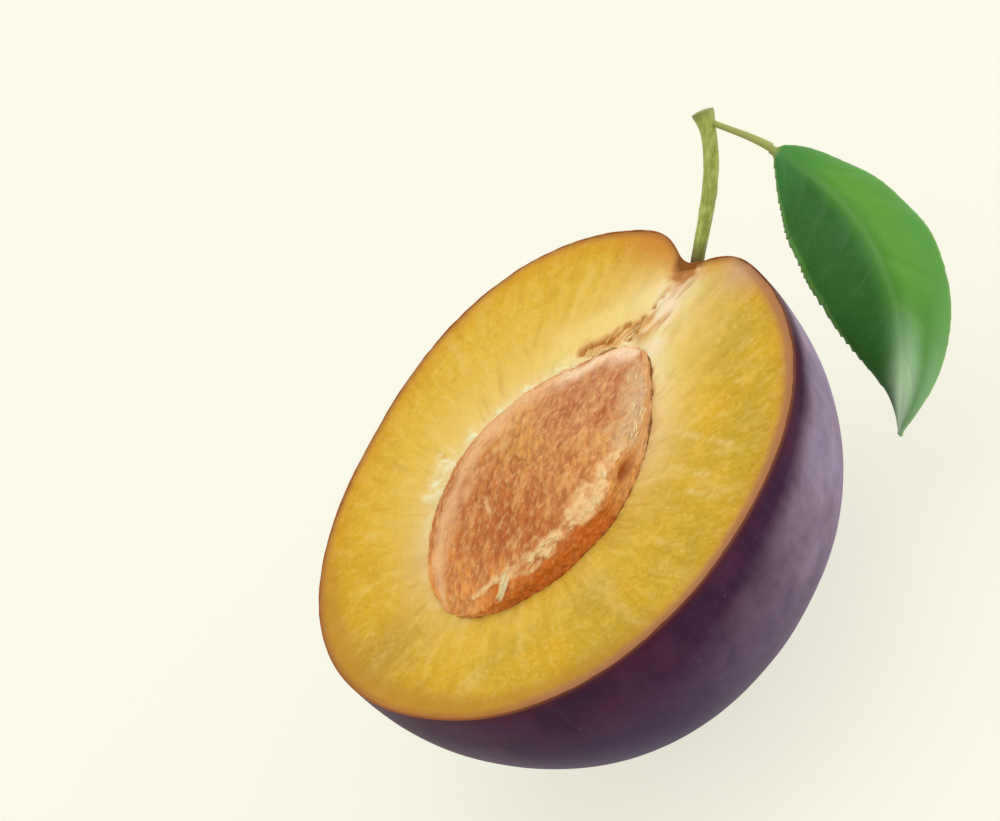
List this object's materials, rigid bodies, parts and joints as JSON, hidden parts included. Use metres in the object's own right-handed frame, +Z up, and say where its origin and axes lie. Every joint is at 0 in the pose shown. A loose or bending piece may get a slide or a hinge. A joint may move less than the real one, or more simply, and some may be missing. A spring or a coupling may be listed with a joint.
{
  "type": "halved plum",
  "caption": "Halved oval plum with purple skin, yellow flesh, a flat pointed stone, and a leaf on its stem; rests cut side up.",
  "frame": {"origin": "centre of the flat resting spot under the rounded back", "axes": "+Z up out of the cut face, +Y along the fruit towards the stem end, +X across the cut face to the side the leaf hangs on"},
  "size_m": [0.0442, 0.059, 0.0299],
  "materials": {
    "plum_skin": "smooth waxy peel with a pale bloom",
    "plum_flesh": "moist translucent cut flesh",
    "plum_stone": "rough pitted shell, damp",
    "plum_stem": "smooth green bark with a brown end",
    "plum_leaf": "satin veined leaf"
  },
  "bodies": {
    "root": {"skin": "plum_skin", "flesh": "plum_flesh", "stone": "plum_stone", "stem": "plum_stem", "leaf": "plum_leaf"}
  },
  "joints": []
}
